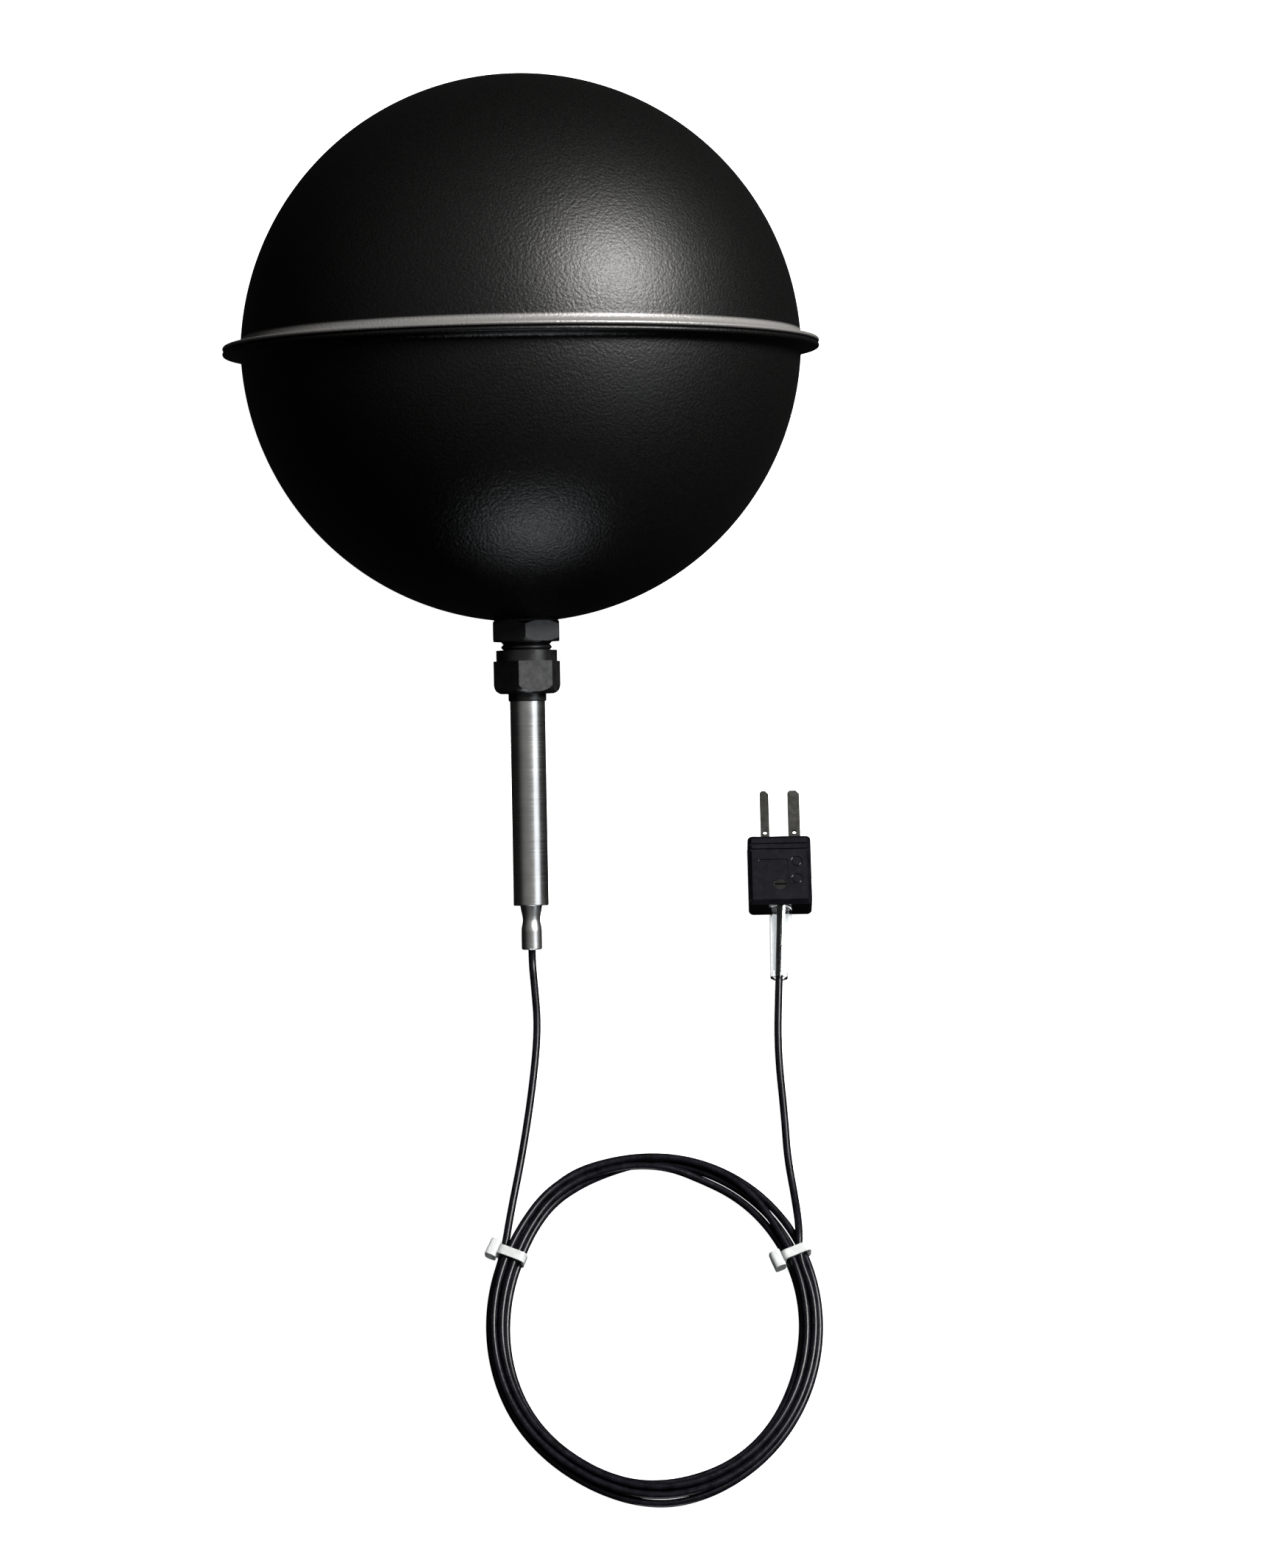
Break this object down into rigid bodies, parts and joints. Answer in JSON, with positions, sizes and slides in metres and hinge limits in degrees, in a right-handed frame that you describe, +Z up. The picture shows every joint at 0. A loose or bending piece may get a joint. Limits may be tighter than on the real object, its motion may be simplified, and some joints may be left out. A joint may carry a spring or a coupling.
{
  "type": "globe thermometer probe",
  "caption": "Black globe thermometer probe: hollow rimmed sphere on a steel stem with a compression gland, a coiled lead with ties and a flat-pin thermocouple plug.",
  "frame": {"origin": "on the table, under the middle of the probe without its lead", "axes": "+Z up from the table; +Y from the stem towards the globe, whose axis leans 26.4 degrees above the table; +X to the right seen from above with the globe away"},
  "size_m": [0.1596, 0.3746, 0.1484],
  "materials": {
    "globe_paint": "matt black, fine sandy grain",
    "gland_plastic": "satin",
    "seal_rubber": "matt",
    "blackened_steel": "blackened",
    "stainless": "brushed",
    "stainless_satin": "satin",
    "brass": "machined",
    "insulator": "matt",
    "thermo_alloy": "drawn wire",
    "lead_jacket": "semi-gloss, flexible",
    "nylon": "translucent natural nylon",
    "clear_sleeve": "clear flexible plastic",
    "plug_body": "glossy moulded",
    "blade_alloy": "bright rolled strip"
  },
  "bodies": {
    "probe": {"stem_tube": "stainless", "stem_head_bush": "brass", "sensor_sheath": "stainless", "twin_bore_insulator": "insulator", "thermocouple_wires": "thermo_alloy", "sensing_junction": "thermo_alloy", "stem_end_bush": "brass", "crimp_ferrule": "stainless_satin", "cable_lead": "lead_jacket", "cable_coil": "lead_jacket", "cable_tail": "lead_jacket", "cable_in_sleeve": "lead_jacket", "left_tie": "nylon", "right_tie": "nylon", "strain_sleeve": "clear_sleeve", "plug_base": "plug_body", "plug_cover": "plug_body", "negative_blade": "blade_alloy", "positive_blade": "blade_alloy", "terminal_screws": "brass", "cover_screw": "blackened_steel", "plug_conductors": "thermo_alloy"},
    "seal": {"seal_ring": "seal_rubber"},
    "globe": {"upper_shell": "globe_paint", "lower_shell": "globe_paint", "gland_washer": "seal_rubber", "gland_body": "gland_plastic", "lock_nut": "gland_plastic"},
    "clamp": {"clamp_sleeve": "gland_plastic"},
    "nut": {"compression_nut": "gland_plastic"}
  },
  "joints": [
    {"name": "globe_slide", "type": "slide", "parent": "probe", "child": "seal", "axis": [0, 0.8957, 0.4446], "range_m": [0, 0.05]},
    {"name": "globe_turn", "type": "hinge", "parent": "seal", "child": "globe", "pos_m": [0, -0.03743, 0.03774], "axis": [0, 0.8957, 0.4446], "continuous": true},
    {"name": "nut_advance", "type": "slide", "parent": "globe", "child": "clamp", "axis": [0, -0.8957, -0.4446], "range_m": [0, 0.006]},
    {"name": "nut_turn", "type": "hinge", "parent": "clamp", "child": "nut", "pos_m": [0, -0.0419, 0.03552], "axis": [0, -0.8957, -0.4446], "range_deg": [0, 1445]}
  ],
  "couplings": [
    {"joint": "nut_turn", "follows": "nut_advance", "rad_per_m": 4188.8}
  ]
}
